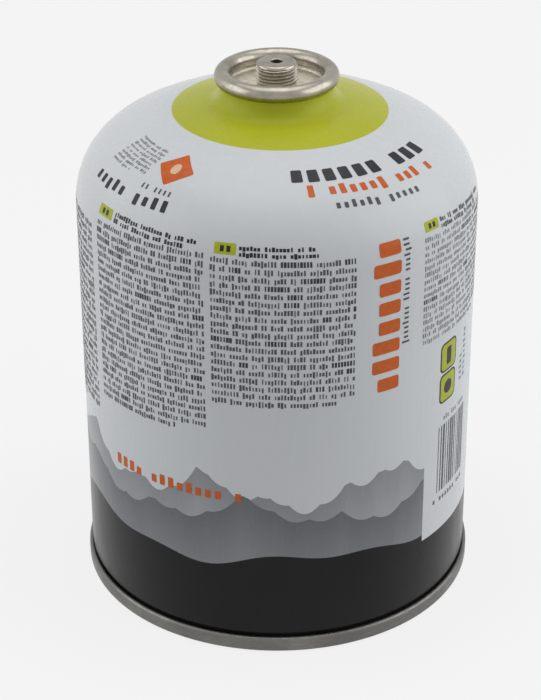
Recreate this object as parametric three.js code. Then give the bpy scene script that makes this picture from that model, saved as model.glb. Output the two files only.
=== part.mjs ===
// A screw-valve gas canister of the 450 g size, in millimetres. +Z is up, and the origin is the centre of the
// ring that it stands on. Every piece is pressed or turned, so each one is a section revolved about the Z axis.
// The can is sealed and holds liquid gas, so its body is one solid from the bottom panel up to the valve.

import * as THREE from "three";

// Can body: drawn steel, printed on the outside.
const bodyRadius = 54;
const bodySheet = 0.4;
const shoulderStart = 112.4;
const shoulderArc = 21;
const shoulderTurn = 63;
const domeArc = 75;
const neckProud = 0.6;
const neckFillet = 4.6;
const neckHeight = 2.7;
const beadRadius = 1.4;

// Bottom end: a domed steel panel. Its double seam with the body is the ring that the canister stands on.
const endSheet = 0.5;
const seamProud = 1;
const seamHeight = 4.4;
const seamFootRound = 0.95;
const seamTopRound = 0.75;
const seamHook = 1.2;
const bodyHook = 2.4;
const bodyTaper = 1.2;
const chuckWallHeight = 6;
const panelRound = 2;
const panelArc = 160;

// Valve cup: pressed steel, with the threaded boss in its middle and a curled rim that grips the bead.
const cupSheet = 0.4;
const rimGasket = 0.3;
const rimHook = 45;
const rimLip = 0.5;
const rimCentreRadius = 14.3;
const clinchProud = 0.95;
const clinchRound = 0.65;
const floorDepth = 2.8;
const bossHeight = 6.7;
const bossRadius = 5.45;
const bossTopRound = 0.9;
const bossFootRound = 0.6;
const bossHole = 1.55;

// Valve: a rubber seal under the top of the boss, and the moulded housing that presses it there.
const sealRadius = 4.4;
const sealThickness = 1.3;
const sealHole = 1.1;
const housingDepth = 9;
const tailRadius = 2.2;
const tailLength = 5;

// Clearance between two pieces that are pressed together, and the facets of a turn and of the rim's half turn.
const fit = 0.05;
const facets = 48;
const rimFacets = 8;

function point(radius, z) {
  return new THREE.Vector2(radius, z);
}

// Points of an arc in the section, from one angle to another in degrees. Angle 0 points away from the axis.
function arc(centreRadius, centreZ, radius, from, to, steps) {
  return Array.from({ length: steps + 1 }, (_, i) => {
    const angle = THREE.MathUtils.degToRad(from + ((to - from) * i) / steps);
    return point(centreRadius + radius * Math.cos(angle), centreZ + radius * Math.sin(angle));
  });
}

// The closed section of a pressed sheet: a path along one face, and back along the face on its left.
function sheet(path, thickness) {
  const steps = path.slice(1).map((p, i) => p.clone().sub(path[i]).normalize());
  const back = path.map((p, i) => {
    const before = steps[Math.max(i - 1, 0)];
    const after = steps[Math.min(i, steps.length - 1)];
    const along = before.clone().add(after).normalize();
    const reach = thickness / along.dot(after);
    return point(p.x - along.y * reach, p.y + along.x * reach);
  });
  return [...path, ...back.reverse()];
}

// One piece: its section revolved about the Z axis. A section that doesn't start on the axis is closed.
function turned(name, section, material) {
  const outline = section[0].x > 0 ? [...section, section[0]] : section;
  const mesh = new THREE.Mesh(new THREE.LatheGeometry(outline, facets).rotateX(Math.PI / 2), material);
  mesh.name = name;
  return mesh;
}

// The bead of the can, the gasket and the rim of the cup lie over each other about one circle.
const gasketRound = beadRadius + fit + rimGasket;
const rimRound = gasketRound + fit + cupSheet;
const rimStep = 180 / rimFacets;
const neckRadius = rimCentreRadius + neckProud;
const cupWall = rimCentreRadius - rimRound;
const clinchRadius = cupWall + clinchProud;

// The shoulder and the dome are two arcs that meet without a corner, and a fillet leads up to the neck.
const shoulderEnd = THREE.MathUtils.degToRad(shoulderTurn);
const shoulderCentreRadius = bodyRadius - shoulderArc;
const domeCentreRadius = shoulderCentreRadius + (shoulderArc - domeArc) * Math.cos(shoulderEnd);
const domeCentreZ = shoulderStart + (shoulderArc - domeArc) * Math.sin(shoulderEnd);
const filletRadius = neckRadius + neckFillet;
const filletZ = domeCentreZ + Math.sqrt((domeArc + neckFillet) ** 2 - (filletRadius - domeCentreRadius) ** 2);
const domeEnd = THREE.MathUtils.radToDeg(Math.atan2(filletZ - domeCentreZ, filletRadius - domeCentreRadius));

// The rim stands over the neck, and the boss, the seal and the housing are stacked down from the top.
const rimZ = filletZ + neckHeight;
const floorZ = rimZ - floorDepth;
const bossTop = floorZ + bossHeight;
const sealTop = bossTop - cupSheet - fit;
const housingTop = sealTop - sealThickness - fit;
const housingRadius = bossRadius - cupSheet - 2 * fit;
const housingBottom = floorZ - housingDepth;

// Layers of the double seam, from the outside in.
const seamRadius = bodyRadius + seamProud;
const bodyHookRadius = seamRadius - endSheet - fit;
const seamHookRadius = seamRadius - 2 * seamTopRound;
const wallAtSeam = seamHookRadius - fit;
const chuckWall = wallAtSeam - bodySheet - fit - endSheet;

// The bottom panel is an arc about a point on the axis, and a smaller arc takes it down to the chuck wall.
const panelEdgeRadius = chuckWall - panelRound;
const panelCentreZ = chuckWallHeight - Math.sqrt((panelArc - panelRound) ** 2 - panelEdgeRadius ** 2);
const panelEdge = THREE.MathUtils.radToDeg(Math.acos(panelEdgeRadius / (panelArc - panelRound)));

// The panel's lower face, or a face at some height over it, from the axis out to the chuck wall.
function panel(over) {
  return [
    ...arc(0, panelCentreZ, panelArc + over, 90, panelEdge, 5),
    ...arc(panelEdgeRadius, chuckWallHeight, panelRound + over, panelEdge, 0, 2).slice(1),
  ];
}

function canBody(material) {
  const hookFoot = endSheet + fit;
  const wellRadius = clinchRadius + cupSheet + fit;
  const wellZ = floorZ - cupSheet - fit;
  const pocketRadius = housingRadius + fit;
  const pocketZ = housingBottom - fit;
  const section = [
    ...panel(endSheet + fit),
    point(wallAtSeam - bodySheet, hookFoot + bodySheet),
    point(wallAtSeam, hookFoot),
    point(bodyHookRadius - bodySheet, hookFoot),
    point(bodyHookRadius, hookFoot + bodySheet),
    point(bodyHookRadius, hookFoot + bodyHook),
    point(bodyHookRadius - bodySheet, hookFoot + bodyHook),
    point(bodyHookRadius - bodySheet, hookFoot + bodySheet),
    point(wallAtSeam, hookFoot + bodySheet),
    point(wallAtSeam, seamHeight),
    point(bodyRadius, seamHeight + bodyTaper),
    ...arc(shoulderCentreRadius, shoulderStart, shoulderArc, 0, shoulderTurn, 8),
    ...arc(domeCentreRadius, domeCentreZ, domeArc, shoulderTurn, domeEnd, 5).slice(1),
    ...arc(filletRadius, filletZ, neckFillet, domeEnd + 180, 180, 5).slice(1),
    ...arc(rimCentreRadius, rimZ, beadRadius, -2 * rimStep, 180 + 2 * rimStep, rimFacets + 4),
    point(wellRadius, rimZ - beadRadius),
    point(wellRadius, wellZ),
    point(pocketRadius, wellZ),
    point(pocketRadius, pocketZ),
    point(tailRadius + fit, pocketZ),
    point(tailRadius + fit, pocketZ - tailLength),
    point(0, pocketZ - tailLength),
  ];
  return turned("can_body", section, material);
}

function bottomEnd(material) {
  const path = [
    ...panel(0),
    ...arc(chuckWall + seamFootRound, seamFootRound, seamFootRound, 180, 270, 2),
    ...arc(seamRadius - seamFootRound, seamFootRound, seamFootRound, 270, 360, 2),
    ...arc(seamRadius - seamTopRound, seamHeight - seamTopRound, seamTopRound, 0, 180, 4),
    point(seamHookRadius, seamHeight - seamTopRound - seamHook),
  ];
  return turned("bottom_end", sheet(path, endSheet), material);
}

function valveCup(material) {
  const clinchCentre = clinchRadius - clinchRound;
  const clinchZ = floorZ + clinchRound;
  const rim = arc(rimCentreRadius, rimZ, rimRound, -rimHook, 180, rimFacets + 2);
  const path = [
    point(rim[0].x + rimLip / 4, rim[0].y - rimLip),
    ...rim,
    point(cupWall, clinchZ + 1.5 * clinchRound),
    ...arc(clinchCentre, clinchZ, clinchRound, 45, -90, 4),
    ...arc(bossRadius + bossFootRound, floorZ + bossFootRound, bossFootRound, 270, 180, 2),
    ...arc(bossRadius - bossTopRound, bossTop - bossTopRound, bossTopRound, 0, 90, 3),
    point(bossHole, bossTop),
  ];
  return turned("valve_cup", sheet(path, cupSheet), material);
}

// The gasket lies over the bead, from the outside of the rim to the mouth of the can.
function cupGasket(material) {
  const face = arc(rimCentreRadius, rimZ, gasketRound, rimStep, 180, rimFacets - 1);
  return turned("cup_gasket", sheet(face, rimGasket), material);
}

function stemSeal(material) {
  const face = [point(sealHole, sealTop - sealThickness), point(sealRadius, sealTop - sealThickness)];
  return turned("stem_seal", sheet(face, sealThickness), material);
}

function valveHousing(material) {
  const section = [
    point(0, housingBottom - tailLength),
    point(tailRadius, housingBottom - tailLength),
    point(tailRadius, housingBottom),
    point(housingRadius, housingBottom),
    point(housingRadius, housingTop),
    point(0, housingTop),
  ];
  return turned("valve_housing", section, material);
}

const paint = new THREE.MeshStandardMaterial({ color: 0xc6cbce, roughness: 0.3, metalness: 0 });
const bareSteel = new THREE.MeshStandardMaterial({ color: 0x7d7b77, roughness: 0.45, metalness: 0.8 });
const plated = new THREE.MeshStandardMaterial({ color: 0xb7b1a4, roughness: 0.3, metalness: 0.9 });
const rubber = new THREE.MeshStandardMaterial({ color: 0x161616, roughness: 0.8, metalness: 0 });
const moulding = new THREE.MeshStandardMaterial({ color: 0x202122, roughness: 0.5, metalness: 0 });

const canister = new THREE.Group();
canister.name = "fuel_canister";
canister.add(
  canBody(paint),
  bottomEnd(bareSteel),
  valveCup(plated),
  cupGasket(rubber),
  stemSeal(rubber),
  valveHousing(moulding),
);

export default canister;
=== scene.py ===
import math
import random

import bpy
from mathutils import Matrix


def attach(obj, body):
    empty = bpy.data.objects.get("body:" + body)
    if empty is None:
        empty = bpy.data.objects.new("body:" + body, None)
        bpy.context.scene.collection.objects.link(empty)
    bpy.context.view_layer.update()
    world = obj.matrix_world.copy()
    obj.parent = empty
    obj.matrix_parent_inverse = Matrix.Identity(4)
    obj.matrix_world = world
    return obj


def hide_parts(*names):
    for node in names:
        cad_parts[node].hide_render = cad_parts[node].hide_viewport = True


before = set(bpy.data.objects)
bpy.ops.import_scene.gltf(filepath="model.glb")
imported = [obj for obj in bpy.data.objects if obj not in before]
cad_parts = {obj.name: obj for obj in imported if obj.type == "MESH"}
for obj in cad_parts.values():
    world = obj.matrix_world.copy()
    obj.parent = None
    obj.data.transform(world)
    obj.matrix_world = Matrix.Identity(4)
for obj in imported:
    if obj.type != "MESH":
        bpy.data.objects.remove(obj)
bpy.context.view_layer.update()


# The camera stands where the photograph was taken from: 0.6 m away, looking down at 28 degrees
# with a longer lens.
bpy.ops.object.camera_add(
    location=(0, -0.52629, 0.34832),
    rotation=(math.radians(61.6), math.radians(0.19), math.radians(0.104)),
)
camera = bpy.context.object
camera.data.lens = 109.64
bpy.context.scene.camera = camera
bpy.context.scene.view_settings.view_transform = "Standard"


# The can is one drawn sheet of tinned steel: straight wall, round shoulder, shallow dome and a neck
# that ends in a curled bead. Its foot is folded into the seam below.
def arc(centre_r, centre_z, radius, start, end, steps):
    """Points (r, z) of an arc in the section. Angle 0 points away from the axis."""
    turns = [math.radians(start + (end - start) * i / steps) for i in range(steps + 1)]
    return [(centre_r + radius * math.cos(a), centre_z + radius * math.sin(a)) for a in turns]


def sheet(path, thickness):
    """The outline of a sheet: its outer face, and back along the inner face on the path's left."""
    steps = [(b[0] - a[0], b[1] - a[1]) for a, b in zip(path, path[1:])]
    along = [(dr / math.hypot(dr, dz), dz / math.hypot(dr, dz)) for dr, dz in steps]
    inner = []
    for i, (r, z) in enumerate(path):
        before, after = along[max(i - 1, 0)], along[min(i, len(along) - 1)]
        half = math.hypot(before[0] + after[0], before[1] + after[1]) / 2
        reach = thickness / half**2 / 2
        inner.append((r - (before[1] + after[1]) * reach, z + (before[0] + after[0]) * reach))
    return path + inner[::-1]


# Points closer than the weld, in metres, are joined, and an edge under this angle is shaded smooth.
weld = 0.000002
smooth_angle = math.radians(35)


def face_outwards():
    """Ends the modelling of a closed piece in edit mode: its faces point outwards and are shaded."""
    bpy.ops.mesh.select_all(action="SELECT")
    bpy.ops.mesh.normals_make_consistent(inside=False)
    bpy.ops.object.mode_set(mode="OBJECT")
    bpy.ops.object.shade_smooth_by_angle(angle=smooth_angle)


def turned(name, section, steps):
    """A piece of revolution: the section in mm is drawn edge by edge, then spun about the Z axis."""
    bpy.ops.object.select_all(action="DESELECT")
    bpy.ops.mesh.primitive_plane_add(size=0.001, location=(0, 0, 0))
    piece = bpy.context.object
    piece.name = piece.data.name = name
    bpy.ops.object.mode_set(mode="EDIT")
    bpy.context.tool_settings.mesh_select_mode = (True, False, False)
    bpy.ops.mesh.merge(type="CENTER")
    bpy.ops.transform.translate(value=(section[0][0] / 1000, 0, section[0][1] / 1000))
    for (r0, z0), (r1, z1) in zip(section, section[1:]):
        step = ((r1 - r0) / 1000, 0, (z1 - z0) / 1000)
        bpy.ops.mesh.extrude_region_move(TRANSFORM_OT_translate={"value": step})
    if section[0][0] > 0:
        bpy.ops.mesh.select_all(action="DESELECT")
        bpy.ops.object.mode_set(mode="OBJECT")
        piece.data.vertices[0].select = True
        piece.data.vertices[len(section) - 1].select = True
        bpy.ops.object.mode_set(mode="EDIT")
        bpy.ops.mesh.edge_face_add()
    bpy.ops.mesh.select_all(action="SELECT")
    bpy.ops.mesh.spin(steps=steps, angle=math.tau, center=(0, 0, 0), axis=(0, 0, 1))
    bpy.ops.mesh.select_all(action="SELECT")
    bpy.ops.mesh.remove_doubles(threshold=weld)
    bpy.ops.mesh.dissolve_degenerate(threshold=weld)
    face_outwards()
    return piece


body_radius, wall_foot, body_sheet, body_steps = 54.0, 6.3, 0.4, 192
shoulder_arc, shoulder_foot, shoulder_turn = 21.0, 112.4, 63
dome_arc = 75.0
neck_radius, neck_fillet, neck_height = 14.9, 4.6, 2.7
shoulder_end = math.radians(shoulder_turn)
dome_r = body_radius - shoulder_arc + (shoulder_arc - dome_arc) * math.cos(shoulder_end)
dome_z = shoulder_foot + (shoulder_arc - dome_arc) * math.sin(shoulder_end)
fillet_r = neck_radius + neck_fillet
fillet_z = dome_z + math.sqrt((dome_arc + neck_fillet) ** 2 - (fillet_r - dome_r) ** 2)
dome_end = math.degrees(math.atan2(fillet_z - dome_z, fillet_r - dome_r))
rim_radius, rim_height, bead_arc = 14.3, fillet_z + neck_height, 1.4
in_seam = [(53.45, 1.0), (53.45, 4.2), (53.5, 4.7), (53.72, 5.15), (53.92, 5.6)]
can_face = (
    in_seam
    + [(body_radius, z) for z in (wall_foot, 30.0, 58.0, 86.0)]
    + arc(body_radius - shoulder_arc, shoulder_foot, shoulder_arc, 0, shoulder_turn, 24)
    + arc(dome_r, dome_z, dome_arc, shoulder_turn, dome_end, 20)[1:]
    + arc(fillet_r, fillet_z, neck_fillet, dome_end + 180, 180, 14)[1:]
    + arc(rim_radius, rim_height, bead_arc, -45, 225, 24)
)
can = turned("can_shell", sheet(can_face, body_sheet), body_steps)


# The print covers the outside before the lacquer: pale grey sides, a lime disc under the valve, and a
# strip of plain hills over a near-black foot, with a pale panel at the right.
def node(tree, kind, *sources, **settings):
    """A new node. Its first inputs take the given sockets or values, and None leaves one as it is."""
    made = tree.nodes.new(kind)
    for key, value in settings.items():
        setattr(made, key, value)
    for socket, source in zip(made.inputs, sources):
        if isinstance(source, bpy.types.NodeSocket):
            tree.links.new(source, socket)
        elif source is not None:
            socket.default_value = source
    return made.outputs[0]


def calc(tree, operation, *sources):
    """A sum, product or other operation on sockets or values."""
    return node(tree, "ShaderNodeMath", *sources, operation=operation)


def mixed(tree, share, first, second):
    """Colour first turns into colour second as share goes from 0 to 1."""
    made = tree.nodes.new("ShaderNodeMix")
    made.data_type = "RGBA"
    colour_sockets = made.inputs[0], made.inputs[6], made.inputs[7]
    for socket, source in zip(colour_sockets, (share, first, second)):
        if isinstance(source, bpy.types.NodeSocket):
            tree.links.new(source, socket)
        else:
            socket.default_value = source
    return made.outputs[2]


def noise(tree, place, scale, detail, stretch=(1, 1, 1)):
    """Noise from 0 to 1 on object coordinates. Scale counts per metre, and stretch widens an axis."""
    moved = node(tree, "ShaderNodeMapping", place, None, None, tuple(1 / s for s in stretch))
    return node(tree, "ShaderNodeTexNoise", moved, None, scale, detail)


def spread(tree, value, low, high):
    """Takes the middle of a noise to the range from low to high."""
    return node(tree, "ShaderNodeMapRange", value, 0.3, 0.7, low, high)


def uneven(tree, place, scale, detail, first, second):
    """A colour that wanders between two tones."""
    return mixed(tree, spread(tree, noise(tree, place, scale, detail), 0, 1), first, second)


def finish_of(name):
    """A new material: its tree, its Principled shader and its object coordinates."""
    made = bpy.data.materials.new(name)
    made.use_nodes = True
    tree = made.node_tree
    place = tree.nodes.new("ShaderNodeTexCoord").outputs["Object"]
    return made, tree, tree.nodes["Principled BSDF"], place


def colour(red, green, blue):
    """An sRGB colour of 0 to 255 as the linear colour that shaders take."""
    return tuple(((c / 255 + 0.055) / 1.055) ** 2.4 for c in (red, green, blue)) + (1.0,)


def lacquered(tree, shader, place, low, high):
    """The sheen of the lacquer: rubs that run up the can, with roughness from low to high."""
    rubs = spread(tree, noise(tree, place, 260, 5, (1, 1, 6)), low, high)
    tree.links.new(rubs, shader.inputs["Roughness"])
    shader.inputs["Specular IOR Level"].default_value = 0.15


def bumped(tree, shader, height, strength):
    """Bumps of up to a tenth of a millimetre, weakened to a strength from 0 to 1."""
    made = tree.nodes.new("ShaderNodeBump")
    made.inputs["Strength"].default_value = strength
    made.inputs["Distance"].default_value = 0.0001
    tree.links.new(height, made.inputs["Height"])
    tree.links.new(made.outputs[0], shader.inputs["Normal"])


def hills(tree, angle, height, *waves):
    """The height of a skyline round the can, in metres: a level and (size, waves round, start)."""
    line = height
    for size, count, start in waves:
        turn = calc(tree, "MULTIPLY_ADD", angle, count, start)
        line = calc(tree, "MULTIPLY_ADD", calc(tree, "SINE", turn), size, line)
    return line


def peaks(tree, angle, height, *waves):
    """A skyline of pointed tops, from a level and (size, tops round, start) of rows of arches."""
    line = height
    for size, count, start in waves:
        turn = calc(tree, "MULTIPLY_ADD", angle, count / 2, start)
        line = calc(tree, "MULTIPLY_ADD", calc(tree, "ABSOLUTE", calc(tree, "SINE", turn)), -size, line)
    return line


def layer(tree, place, z, below, line, depth, top, foot):
    """Paints all that lies under a skyline, from its colour at the top to a mist at some depth."""
    down = calc(tree, "DIVIDE", calc(tree, "SUBTRACT", line, z), depth)
    misty = mixed(tree, node(tree, "ShaderNodeClamp", down), top, foot)
    grain = spread(tree, noise(tree, place, 1500, 2), 0, 0.12)
    return mixed(tree, calc(tree, "LESS_THAN", z, line), below, mixed(tree, grain, misty, foot))


# The tones of the print, and the heights, skylines and places of what it shows, in metres.
paper_tones = colour(206, 210, 213), colour(210, 213, 216)
lime_tones = colour(180, 185, 42), colour(174, 179, 42)
foot_tones = colour(23, 23, 24), colour(28, 28, 29)
far_tones = colour(142, 145, 149), colour(168, 171, 174)
near_tones = colour(108, 111, 115), colour(140, 143, 147)
far_height, far_mist, near_height, near_mist, foot_height = 0.0578, 0.016, 0.0500, 0.018, 0.0285
far_tops = (0.0085, 7, 1.2), (0.0042, 17, 0.3), (0.0016, 41, 2.0)
near_tops = (0.0075, 5, 0.35), (0.0036, 13, 1.1), (0.0013, 37, 0.3)
foot_waves = (0.0017, 5, 0.9), (0.0009, 11, 2.2)
panel_turn, panel_half_turn = math.radians(66.5), math.radians(19.5)
panel_middle, panel_half_height = 0.0455, 0.0215
disc_x, disc_radius, dome_foot = 0.0009, 0.0287, 0.12

lacquer, tree, shader, place = finish_of("printed_can")
axes = tree.nodes.new("ShaderNodeSeparateXYZ")
tree.links.new(place, axes.inputs[0])
x, y, z = axes.outputs
angle = calc(tree, "ARCTAN2", x, calc(tree, "MULTIPLY", y, -1.0))
paper = uneven(tree, place, 30, 3, *paper_tones)
far_line = peaks(tree, angle, far_height, *far_tops)
near_line = peaks(tree, angle, near_height, *near_tops)
print_colour = layer(tree, place, z, paper, far_line, far_mist, *far_tones)
print_colour = layer(tree, place, z, print_colour, near_line, near_mist, *near_tones)
foot_line = hills(tree, angle, foot_height, *foot_waves)
foot = uneven(tree, place, 60, 3, *foot_tones)
print_colour = mixed(tree, calc(tree, "LESS_THAN", z, foot_line), print_colour, foot)
panel_side = calc(tree, "COMPARE", angle, panel_turn, panel_half_turn)
panel_up = calc(tree, "COMPARE", z, panel_middle, panel_half_height)
on_panel = calc(tree, "MULTIPLY", panel_side, panel_up)
print_colour = mixed(tree, on_panel, print_colour, paper)
off_centre = calc(tree, "POWER", calc(tree, "SUBTRACT", x, disc_x), 2.0)
from_centre = calc(tree, "SQRT", calc(tree, "ADD", off_centre, calc(tree, "POWER", y, 2.0)))
on_dome = calc(tree, "GREATER_THAN", z, dome_foot)
on_disc = calc(tree, "MULTIPLY", calc(tree, "LESS_THAN", from_centre, disc_radius), on_dome)
lime = uneven(tree, place, 45, 3, *lime_tones)
print_colour = mixed(tree, on_disc, print_colour, lime)
tree.links.new(print_colour, shader.inputs["Base Color"])
lacquered(tree, shader, place, 0.23, 0.3)
bumped(tree, shader, noise(tree, place, 1400, 2), 0.01)
can.data.materials.append(lacquer)
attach(can, "root")
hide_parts("can_body")


# Small print: each text of the real can is shown as rows of plain blocks of the same weight and pitch,
# a film of ink that lies on the wall and the shoulder. Inks lie over each other in three coats, each
# given by how far its face stands off the wall in mm. A film is cut at a spacing in mm to follow the
# can, and its depth is in metres.
low_coat, middle_coat, top_coat = 0.05, 0.07, 0.09
cut_spacing, film_depth = 0.8, 0.000015


def along_face(up):
    """The outer face's (r, z) at a distance in mm up the wall from height 0, and its slope there."""
    run = wall_foot
    face = can_face[len(in_seam) :]
    for (r0, z0), (r1, z1) in zip(face, face[1:]):
        step = math.hypot(r1 - r0, z1 - z0)
        if run + step >= up:
            share = (up - run) / step
            return r0 + (r1 - r0) * share, z0 + (z1 - z0) * share, (r1 - r0) / step, (z1 - z0) / step
        run += step


def laid_on(piece, proud):
    """Rolls a flat piece onto the can: x is mm round the wall from the front, and y is mm up it."""
    for vertex in piece.data.vertices:
        r, height, slope_r, slope_z = along_face(vertex.co.y)
        r, height = r + slope_z * proud, height - slope_r * proud
        turn = vertex.co.x / body_radius
        vertex.co = (math.sin(turn) * r / 1000, -math.cos(turn) * r / 1000, height / 1000)
    piece.data.update()


def ink(name, tint):
    """A material for a film of ink, with slightly uneven colour under the lacquer."""
    made, tree, shader, place = finish_of(name)
    darker = tuple(c * 0.86 for c in tint[:3]) + (1.0,)
    tree.links.new(uneven(tree, place, 700, 4, darker, tint), shader.inputs["Base Color"])
    lacquered(tree, shader, place, 0.22, 0.34)
    return made


grey_ink = ink("grey_ink", colour(88, 90, 92))
pale_grey_ink = ink("pale_grey_ink", colour(132, 134, 137))
bold_ink = ink("bold_ink", colour(64, 66, 68))
black_ink = ink("black_ink", colour(48, 49, 51))
orange_ink = ink("orange_ink", colour(206, 100, 44))
lime_ink = ink("lime_ink", colour(176, 184, 44))
pale_ink = ink("pale_ink", colour(226, 190, 162))


def flat_grid(name, left, right, low, high, across, up):
    """A flat grid of faces in mm, from left to right and from low to high."""
    bpy.ops.object.select_all(action="DESELECT")
    bpy.ops.mesh.primitive_grid_add(x_subdivisions=across, y_subdivisions=up, size=1)
    piece = bpy.context.object
    piece.name = piece.data.name = name
    bpy.ops.object.mode_set(mode="EDIT")
    bpy.ops.mesh.select_all(action="SELECT")
    bpy.ops.transform.resize(value=(right - left, high - low, 1))
    bpy.ops.transform.translate(value=((left + right) / 2, (low + high) / 2, 0))
    bpy.ops.object.mode_set(mode="OBJECT")
    return piece


def keep_faces(piece, kept):
    """Deletes every face for which kept is false."""
    bpy.ops.object.mode_set(mode="EDIT")
    bpy.context.tool_settings.mesh_select_mode = (False, False, True)
    bpy.ops.mesh.select_all(action="DESELECT")
    bpy.ops.object.mode_set(mode="OBJECT")
    for face, stays in zip(piece.data.polygons, kept):
        face.select = not stays
    bpy.ops.object.mode_set(mode="EDIT")
    bpy.ops.mesh.delete(type="FACE")
    bpy.ops.object.mode_set(mode="OBJECT")


def cut_up(left, right, low, high):
    """Cuts the faces of a flat piece in edit mode into small ones, so that it can follow the can."""
    for axis, first, last in ((0, left, right), (1, low, high)):
        for step in range(1, int((last - first) / cut_spacing)):
            spot, normal = [0, 0, 0], [0, 0, 0]
            spot[axis], normal[axis] = first + step * cut_spacing, 1
            bpy.ops.mesh.select_all(action="SELECT")
            bpy.ops.mesh.bisect(plane_co=spot, plane_no=normal)


def printed(piece, material, proud):
    """Lays a flat piece on the can, its face some mm proud of the wall, and gives the film its depth."""
    laid_on(piece, proud)
    if material:
        piece.data.materials.append(material)
    film = piece.modifiers.new("film", "SOLIDIFY")
    film.thickness, film.offset = film_depth, -1
    bpy.ops.object.modifier_apply(modifier="film")
    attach(piece, "root")


def word_rows(chance, rows, letters, look):
    """Each row as a list with 0 for a gap, 1 for a plain letter and 2 for a bold one. The lowest row of
    a text may end early."""
    made = []
    for number in range(rows):
        row = []
        lengths = list(look["fixed"])
        while len(row) < letters:
            length = lengths.pop(0) if lengths else chance.randint(2, 10)
            bold = chance.random() < look["heavy"]
            row += [2 if bold else 1] * length + [0]
        ends = chance.randint(letters // 2, letters) if rows > 1 and number == 0 else letters
        made.append((row[:ends] + [0] * letters)[:letters])
    return made


# A bold block is wider by a factor, no block fills more than the widest share of its letter, and some
# reach over or under the others by these shares of the row.
bold_factor, widest, reach_over, reach_under = 1.2, 0.86, 0.17, 0.15


def shape_block(piece, face, width, height, bold, fallen, chance, look):
    """Moves the corners of one cell of the grid, width by height, to where its block ends."""
    run = look["wide"] * chance.choice(look["runs"])
    run = min(run * (bold_factor if bold else 1), widest)
    level = look["level"]
    over = 0.0 if level else reach_over * (bold or chance.random() < look["rises"])
    under = 0.0 if level or bold else reach_under * (chance.random() < look["drops"])
    if look["upright"]:
        to_left, to_right = (width * (look["tall"] / 2 + reach) for reach in (over, under))
        down = up = height * run / 2
    else:
        to_left = to_right = width * run / 2
        down, up = (height * (look["tall"] / 2 + reach) for reach in (under, over))
    middle_x, middle_y = face.center.x, face.center.y
    for index in face.vertices:
        vertex = piece.data.vertices[index]
        vertex.co.x = middle_x + (to_right if vertex.co.x > middle_x else -to_left)
        vertex.co.y = middle_y + (up if vertex.co.y > middle_y else -down)
        vertex.co.y -= fallen


plain_look = {
    "tall": 0.42,
    "wide": 0.62,
    "fixed": (),
    "heavy": 0.0,
    "rises": 0.32,
    "drops": 0.12,
    "level": False,
    "fall": 0.0,
    "corner": 0.0,
    "cut": False,
    "proud": low_coat,
    "upright": False,
}


def words(name, left, right, low, high, rows, letter, material, seed, **given):
    """Rows of blocks in word groups, one block for each letter of the given pitch in mm. Keys:
    tall, wide: a block's share of the row and of the letter; runs: factors for the width, to draw from
    fixed: the lengths of the first words; heavy: the share of bold words
    rises, drops: the shares of blocks that reach over and under the row; level: none does
    fall: how much lower the right end lies; corner: how round a block is; proud: its coat, all in mm
    cut: the blocks are cut up to follow the can; upright: the rows run up the can"""
    runs = (0.6, 0.9, 1.0, 1.05, 1.3) if rows > 1 else (1.0,)
    look = plain_look | {"runs": runs} | given
    chance = random.Random(seed)
    upright = look["upright"]
    span = high - low if upright else right - left
    letters = max(round(span / letter), 1)
    grid = (rows, letters) if upright else (letters, rows)
    piece = flat_grid(name, left, right, low, high, *grid)
    bpy.ops.object.mode_set(mode="EDIT")
    bpy.ops.mesh.select_all(action="SELECT")
    bpy.ops.mesh.edge_split(type="EDGE")
    bpy.ops.object.mode_set(mode="OBJECT")
    piece.data.materials.append(material)
    if look["heavy"]:
        piece.data.materials.append(bold_ink)
    rows_of_words = word_rows(chance, rows, letters, look)
    width, height = (right - left) / grid[0], (high - low) / grid[1]
    kept = []
    for face in piece.data.polygons:
        across = min(int((face.center.x - left) / width), grid[0] - 1)
        line = min(int((face.center.y - low) / height), grid[1] - 1)
        row, place_in_row = (across, line) if upright else (line, across)
        weight = rows_of_words[row][place_in_row]
        kept.append(weight > 0)
        face.material_index = int(weight == 2)
        fallen = look["fall"] * (face.center.x - left) / (right - left)
        shape_block(piece, face, width, height, weight == 2, fallen, chance, look)
    keep_faces(piece, kept)
    bpy.ops.object.mode_set(mode="EDIT")
    bpy.context.tool_settings.mesh_select_mode = (True, False, False)
    bpy.ops.mesh.select_all(action="SELECT")
    if look["corner"]:
        bpy.ops.mesh.bevel(offset=look["corner"], segments=3, affect="VERTICES", clamp_overlap=True)
        bpy.ops.mesh.select_all(action="SELECT")
    if look["cut"]:
        room_to_fall = 3
        cut_up(left, right, low - room_to_fall, high + room_to_fall)
    bpy.ops.object.mode_set(mode="OBJECT")
    printed(piece, None, look["proud"])


column = {"heavy": 0.06, "tall": 0.48, "wide": 0.58, "rises": 0.45, "drops": 0.18}
paler = column | {"heavy": 0.03, "wide": 0.5}
words("print_column_front", -17.2, 20.4, 76.2, 118.1, 19, 0.82, grey_ink, 3, fall=1.3, **column)
words("print_column_left", -56.2, -18.8, 65.2, 117.6, 24, 0.82, grey_ink, 5, fall=-0.9, **column)
words("print_column_far_left", -95.0, -59.4, 56.0, 114.0, 26, 0.82, grey_ink, 7, fall=-0.9, **column)
words("print_column_right", 41.6, 79.0, 85.4, 116.6, 16, 0.82, pale_grey_ink, 9, fall=1.2, **paler)
words("print_column_back_right", 98.0, 134.0, 64.0, 117.0, 24, 0.82, grey_ink, 11, **column)
words("print_column_back_left", -139.0, -103.0, 60.0, 117.0, 26, 0.82, grey_ink, 13, **column)
lead = {"tall": 0.54, "wide": 0.74}
words("print_lead_front", -9.8, 10.8, 118.0, 121.2, 2, 0.92, black_ink, 41, fall=0.4, **lead)
words("print_lead_left", -49.0, -20.2, 118.3, 121.7, 2, 0.92, black_ink, 43, fall=0.4, **lead)
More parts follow.
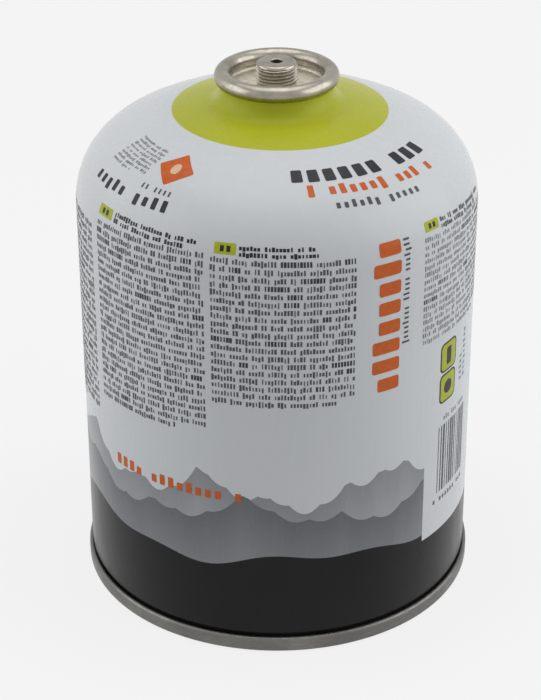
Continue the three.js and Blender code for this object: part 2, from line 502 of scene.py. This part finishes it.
words("print_lead_right", 48.6, 76.0, 116.7, 120.1, 2, 0.92, grey_ink, 45, fall=1.6, **lead)
words(
    "print_heading", 4.0, 63.0, 138.2, 143.2, 1, 5.9, black_ink, 15,
    fixed=(6, 3), cut=True, tall=0.84, wide=0.68, corner=0.5, fall=2.0, level=True,
)
words(
    "print_heading_orange", 9.0, 58.0, 133.4, 137.6, 1, 3.5, orange_ink, 17,
    fixed=(1, 6, 3), cut=True, tall=0.58, wide=0.58, corner=0.35, fall=2.6,
)
words(
    "print_heading_thin", 16.8, 48.8, 128.9, 132.1, 1, 2.45, grey_ink, 19,
    fixed=(6, 5), cut=True, tall=0.5, wide=0.5, corner=0.25, fall=1.6,
)
words(
    "print_weight", -66.2, -31.6, 124.9, 129.1, 1, 3.4, black_ink, 21,
    fixed=(5, 4), cut=True, tall=0.58, wide=0.5, corner=0.35,
)
words("print_small_left", -65.6, -46.6, 132.0, 142.8, 8, 1.0, pale_grey_ink, 23, wide=0.6)
words(
    "print_small_line", -45.0, -32.6, 129.6, 132.0, 1, 1.75, grey_ink, 25,
    fixed=(2, 4), cut=True, tall=0.6, wide=0.36, level=True,
)
words(
    "print_line_orange", -50.6, -9.0, 46.0, 50.6, 1, 2.75, orange_ink, 27,
    fixed=(4, 8, 2), cut=True, tall=0.52, wide=0.6, corner=0.3,
)
words(
    "print_upright_orange", 25.2, 35.2, 75.8, 119.8, 1, 5.5, orange_ink, 26,
    fixed=(8,), cut=True, upright=True, tall=0.66, wide=0.68, corner=0.7,
)
words(
    "print_upright_thin", 34.0, 37.2, 88.6, 119.0, 1, 1.38, grey_ink, 31,
    fixed=(8, 5, 7), cut=True, upright=True, tall=0.46, wide=0.42, corner=0.2,
)
words(
    "print_bars", 49.9, 67.0, 36.4, 57.3, 1, 1.3, grey_ink, 33,
    fixed=(40,), tall=0.99, wide=0.34, runs=(0.4, 0.6, 1.0, 1.9), level=True,
)
words(
    "print_bars_line", 48.4, 67.2, 32.6, 35.4, 1, 1.6, grey_ink, 47,
    fixed=(1, 6, 6), wide=0.5, level=True,
)
words("print_bars_lead", 52.4, 66.0, 58.0, 60.2, 1, 1.1, pale_grey_ink, 49, tall=0.5, wide=0.46)
words(
    "print_small_upright", 61.0, 66.4, 66.2, 81.6, 2, 1.7, pale_grey_ink, 51,
    upright=True, tall=0.5, wide=0.4,
)


# Coloured patches between the texts: lime tags, an orange diamond with a pale mark on the shoulder,
# and two lime squares with a dark edge and a dark mark on the right.
def patch(name, left, right, low, high, corner, material, proud, turn=0):
    """A rectangle of ink with round corners, in mm, that may be turned by some degrees."""
    piece = flat_grid(name, left, right, low, high, 1, 1)
    middle = ((left + right) / 2, (low + high) / 2, 0)
    margin = (right - left) / 2 if turn else 0
    bpy.ops.object.mode_set(mode="EDIT")
    bpy.context.tool_settings.mesh_select_mode = (True, False, False)
    bpy.ops.mesh.select_all(action="SELECT")
    bpy.ops.mesh.bevel(offset=corner, segments=4, affect="VERTICES", clamp_overlap=True)
    bpy.ops.mesh.select_all(action="SELECT")
    if turn:
        bpy.ops.transform.rotate(value=math.radians(turn), orient_axis="Z", center_override=middle)
        wider = body_radius / along_face(middle[1])[0]
        bpy.ops.transform.resize(value=(wider, 1, 1), center_override=middle)
    cut_up(left - margin, right + margin, low - margin, high + margin)
    bpy.ops.object.mode_set(mode="OBJECT")
    printed(piece, material, proud)


patch("tag_front", -16.2, -10.5, 118.6, 121.5, 0.25, lime_ink, low_coat)
patch("tag_left", -56.3, -50.0, 118.7, 121.5, 0.25, lime_ink, low_coat)
patch("tag_right", 42.3, 47.8, 117.7, 120.4, 0.25, lime_ink, low_coat)
mark = {"fixed": (2,), "proud": middle_coat, "tall": 0.8, "level": True}
words("tag_front_mark", -15.0, -11.6, 119.1, 121.0, 1, 1.7, black_ink, 35, **mark)
words("tag_left_mark", -55.0, -51.4, 119.2, 121.0, 1, 1.8, black_ink, 37, **mark)
words("tag_right_mark", 43.5, 46.7, 118.2, 119.9, 1, 1.6, black_ink, 39, **mark)
patch("shoulder_diamond", -41.3, -33.3, 134.4, 142.4, 0.5, orange_ink, low_coat, turn=45)
patch("shoulder_diamond_mark", -39.1, -35.5, 136.6, 140.2, 1.6, pale_ink, middle_coat)
patch("square_high_edge", 50.0, 58.4, 73.6, 82.4, 1.7, black_ink, low_coat)
patch("square_high", 50.5, 57.9, 74.1, 81.9, 1.3, lime_ink, middle_coat)
patch("square_high_mark", 53.0, 55.4, 75.4, 80.6, 0.5, black_ink, top_coat)
patch("square_low_edge", 50.0, 58.4, 64.2, 73.0, 1.7, black_ink, low_coat)
patch("square_low", 50.5, 57.9, 64.7, 72.5, 1.3, lime_ink, middle_coat)
patch("square_low_mark", 52.2, 56.2, 66.6, 70.6, 1.8, black_ink, top_coat)


# The bottom end is a stamped disc of tinned steel, domed into the can. A double seam rolls its edge
# round the foot of the can, and the bare ring of that seam is what the canister stands on.
seam_radius, chuck_wall, end_sheet = 55.0, 52.5, 0.5
seam_foot_round, seam_top_round, seam_top_z, hook_end = 0.95, 0.75, 3.65, (53.5, 2.45)
panel_arc, panel_round, panel_edge_z = 160.0, 2.0, 6.0
panel_edge_r = chuck_wall - panel_round
panel_z = panel_edge_z - math.sqrt((panel_arc - panel_round) ** 2 - panel_edge_r**2)
panel_edge = math.degrees(math.acos(panel_edge_r / (panel_arc - panel_round)))
end_face = (
    arc(0, panel_z, panel_arc, 90, panel_edge, 20)
    + arc(panel_edge_r, panel_edge_z, panel_round, panel_edge, 0, 8)[1:]
    + arc(chuck_wall + seam_foot_round, seam_foot_round, seam_foot_round, 180, 270, 6)
    + arc(seam_radius - seam_foot_round, seam_foot_round, seam_foot_round, 270, 360, 6)
    + arc(seam_radius - seam_top_round, seam_top_z, seam_top_round, 0, 180, 12)
    + [hook_end]
)
bottom = turned("bottom_end_seamed", sheet(end_face, end_sheet), body_steps)
steel_tones = colour(106, 105, 103), colour(128, 127, 124)
streak_tone = colour(82, 81, 78)
bare_steel, tree, shader, place = finish_of("seam_steel")
streaks = noise(tree, place, 500, 6, (1, 1, 0.15))
steel = uneven(tree, place, 70, 5, *steel_tones)
steel = mixed(tree, spread(tree, streaks, 0, 0.35), steel, streak_tone)
tree.links.new(steel, shader.inputs["Base Color"])
tree.links.new(spread(tree, streaks, 0.34, 0.52), shader.inputs["Roughness"])
shader.inputs["Metallic"].default_value = 0.85
bumped(tree, shader, streaks, 0.12)
bottom.data.materials.append(bare_steel)
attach(bottom, "root")
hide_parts("bottom_end")


# The valve cup is pressed from brighter tinned steel: a curled rim over the bead, a groove where it is
# clinched under the bead, a flat floor and the boss that the stove is screwed on.
rim_round, cup_sheet, cup_steps = 2.2, 0.4, 128
cup_wall = rim_radius - rim_round
floor_z, thread_root = rim_height - 2.8, 4.98
groove_centre, groove_round = 12.4, 0.65
boss_top, boss_foot, boss_foot_round = floor_z + 6.7, 0.7, 0.64
boss_flat, boss_top_round, hole_edge, hole_round = 4.45, 0.9, 1.8, 0.25
over_groove = [(cup_wall, 145.1), (cup_wall + 0.03, 144.7)]
floor_step = [(9.5, floor_z), (8.9, floor_z + 0.06)]
plain_band = [(thread_root, boss_top - 0.95), (5.3, boss_top - 0.84)]
cup_face = (
    arc(rim_radius, rim_height, rim_round, -66, 180, 44)
    + over_groove
    + arc(groove_centre, floor_z + groove_round, groove_round, 45, -90, 12)
    + floor_step
    + arc(thread_root + boss_foot, floor_z + boss_foot, boss_foot_round, 270, 180, 6)
    + plain_band
    + arc(boss_flat, boss_top - boss_top_round, boss_top_round, 5, 90, 10)
    + [(2.1, boss_top)]
    + arc(hole_edge, boss_top - hole_round, hole_round, 90, 180, 4)
)
cup = turned("valve_cup_pressed", sheet(cup_face, cup_sheet), cup_steps)
boss_reach, floor_reach = 0.0062, (floor_z + 1.0) / 1000
cup_tones = colour(150, 145, 134), colour(174, 169, 157)
# The boss and the floor are the same tin as the rim, painted in tones of their own for the light they
# catch: the floor much paler, a painted highlight, and the boss an even painted lit tone.
boss_painted_light_tone, floor_painted_light_tone = colour(160, 155, 144), colour(226, 221, 208)
mark_tone, scuff_tone = colour(108, 103, 93), colour(98, 93, 84)
bright_steel, tree, shader, place = finish_of("cup_steel")
marks = noise(tree, place, 900, 4, (2, 1, 1))
haze = spread(tree, noise(tree, place, 160, 4), 0, 1)
axes = tree.nodes.new("ShaderNodeSeparateXYZ")
tree.links.new(place, axes.inputs[0])
x_squared, y_squared = (calc(tree, "POWER", axes.outputs[i], 2.0) for i in (0, 1))
away = calc(tree, "ADD", x_squared, y_squared)
on_boss = calc(tree, "LESS_THAN", away, boss_reach**2)
on_floor = calc(tree, "LESS_THAN", axes.outputs[2], floor_reach)
tin = mixed(tree, haze, *cup_tones)
# Painted light: the boss and then the floor take their own lit tones over the tin.
tin = mixed(tree, on_boss, tin, boss_painted_light_tone)
tin = mixed(tree, on_floor, tin, floor_painted_light_tone)
tin = mixed(tree, spread(tree, marks, 0, 0.28), tin, mark_tone)
scuffs = node(tree, "ShaderNodeMapRange", noise(tree, place, 420, 6), 0.53, 0.68, 0, 0.32)
tin = mixed(tree, scuffs, tin, scuff_tone)
tree.links.new(tin, shader.inputs["Base Color"])
worn = spread(tree, marks, 0.25, 0.36)
rougher_floor = calc(tree, "MULTIPLY_ADD", on_floor, 0.22, worn)
tree.links.new(rougher_floor, shader.inputs["Roughness"])
shader.inputs["Metallic"].default_value = 1.0
bumped(tree, shader, haze, 0.015)
cup.data.materials.append(bright_steel)
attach(cup, "root")
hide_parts("valve_cup")


# The thread is rolled into the boss: one ridge with a pitch of 0.907 mm, right-handed, that climbs
# from just over the floor to the plain band under the top. The half heights of its section at the
# crest and at the root are in metres.
thread_pitch, thread_turns, thread_steps, thread_crest = 0.907, 5, 64, 5.45
thread_start, in_boss, crest_half, root_half = floor_z + 1.15, 0.1, 0.00008, 0.00042
bpy.ops.object.select_all(action="DESELECT")
bpy.ops.mesh.primitive_plane_add(size=0.001, location=(0, 0, 0), rotation=(math.radians(90), 0, 0))
thread = bpy.context.object
thread.name = thread.data.name = "boss_thread"
bpy.ops.object.transform_apply(location=False, rotation=True, scale=True)
for vertex in thread.data.vertices:
    outside = vertex.co.x > 0
    over = 1 if vertex.co.z > 0 else -1
    vertex.co.x = (thread_crest if outside else thread_root - in_boss) / 1000
    vertex.co.z = thread_start / 1000 + over * (crest_half if outside else root_half)
screw = thread.modifiers.new("turns", "SCREW")
screw.screw_offset = thread_pitch / 1000
screw.iterations = thread_turns
screw.steps = screw.render_steps = thread_steps
bpy.ops.object.mode_set(mode="EDIT")
bpy.ops.mesh.select_all(action="SELECT")
bpy.ops.mesh.delete(type="ONLY_FACE")
bpy.ops.object.mode_set(mode="OBJECT")
bpy.ops.object.modifier_apply(modifier="turns")
bpy.ops.object.mode_set(mode="EDIT")
bpy.ops.mesh.select_all(action="SELECT")
bpy.ops.mesh.remove_doubles(threshold=weld)
bpy.ops.mesh.fill_holes(sides=4)
face_outwards()
rolled_steel, tree, shader, place = finish_of("rolled_steel")
marks = noise(tree, place, 1200, 4)
# The ridge is painted far paler than the cup's tin, a painted highlight so that the thread reads lit;
# the marks only make its tone uneven.
painted_bright_ridge = mixed(tree, marks, colour(196, 191, 177), colour(224, 220, 208))
tree.links.new(painted_bright_ridge, shader.inputs["Base Color"])
tree.links.new(spread(tree, marks, 0.26, 0.38), shader.inputs["Roughness"])
shader.inputs["Metallic"].default_value = 1.0
thread.data.materials.append(rolled_steel)
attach(thread, "root")


# Inside the cup: a rubber gasket between the bead and the rim, a rubber seal under the top of the
# boss, and the moulded valve housing that hangs below it. Only the seal shows, through the hole.
def dull(name, tint, low, high):
    """A finely grained material of one colour, with roughness from low to high."""
    made, tree, shader, place = finish_of(name)
    darker = tuple(c * 0.6 for c in tint[:3]) + (1.0,)
    tree.links.new(uneven(tree, place, 800, 4, darker, tint), shader.inputs["Base Color"])
    tree.links.new(spread(tree, noise(tree, place, 1500, 3), low, high), shader.inputs["Roughness"])
    bumped(tree, shader, noise(tree, place, 2500, 2), 0.2)
    return made


for name, finish in (
    ("cup_gasket", dull("gasket_rubber", colour(26, 26, 26), 0.6, 0.85)),
    ("stem_seal", dull("seal_rubber", colour(16, 16, 16), 0.65, 0.9)),
    ("valve_housing", dull("housing_plastic", colour(34, 35, 36), 0.45, 0.6)),
):
    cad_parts[name].material_slots[0].material = finish


# The stage: a pale floor that keeps the shadow, and a white room with soft lamps at both sides and
# above. None stands in front, so the middle of the can is a little darker, as in the photograph.
floor_seen, room_light, room_seen = 0.8, 0.3, 0.84


def seen_white(tree, amount):
    """A share that is the given amount for what the camera, a reflection or glass sees."""
    rays = tree.nodes.new("ShaderNodeLightPath").outputs
    direct = calc(tree, "ADD", rays["Is Camera Ray"], rays["Is Glossy Ray"])
    either = calc(tree, "MINIMUM", calc(tree, "ADD", direct, rays["Is Transmission Ray"]), 1.0)
    return calc(tree, "MULTIPLY", either, amount)


bpy.ops.object.select_all(action="DESELECT")
bpy.ops.mesh.primitive_plane_add(size=8, location=(0, 0, 0))
floor = bpy.context.object
floor.name = "floor"
floor_paint, tree, shader, place = finish_of("floor_paint")
shader.inputs["Base Color"].default_value = colour(205, 205, 205)
shader.inputs["Roughness"].default_value = 0.9
glow = tree.nodes.new("ShaderNodeEmission")
both = tree.nodes.new("ShaderNodeMixShader")
tree.links.new(seen_white(tree, floor_seen), both.inputs[0])
tree.links.new(shader.outputs[0], both.inputs[1])
tree.links.new(glow.outputs[0], both.inputs[2])
tree.links.new(both.outputs[0], tree.nodes["Material Output"].inputs["Surface"])
floor.data.materials.append(floor_paint)

world = bpy.data.worlds.new("room")
bpy.context.scene.world = world
world.use_nodes = True
tree = world.node_tree
ambient = tree.nodes["Background"]
ambient.inputs["Color"].default_value = (1, 1, 1, 1)
level = node(tree, "ShaderNodeMapRange", seen_white(tree, 1.0), 0.0, 1.0, room_light, room_seen)
tree.links.new(level, ambient.inputs["Strength"])

for name, spot, turn, size, power in (
    ("lamp_left", (-0.95, -0.15, 0.45), (0, -68, 0), (0.9, 1.1), 4.6),
    ("lamp_right", (0.95, -0.15, 0.5), (0, 66, 0), (0.9, 1.1), 5.8),
    ("lamp_top", (0, 0.15, 1.2), (0, 0, 0), (1.0, 1.0), 5.2),
):
    bpy.ops.object.light_add(type="AREA", location=spot, rotation=[math.radians(t) for t in turn])
    lamp = bpy.context.object
    lamp.name = name
    lamp.data.shape = "RECTANGLE"
    lamp.data.size, lamp.data.size_y = size
    lamp.data.energy = power
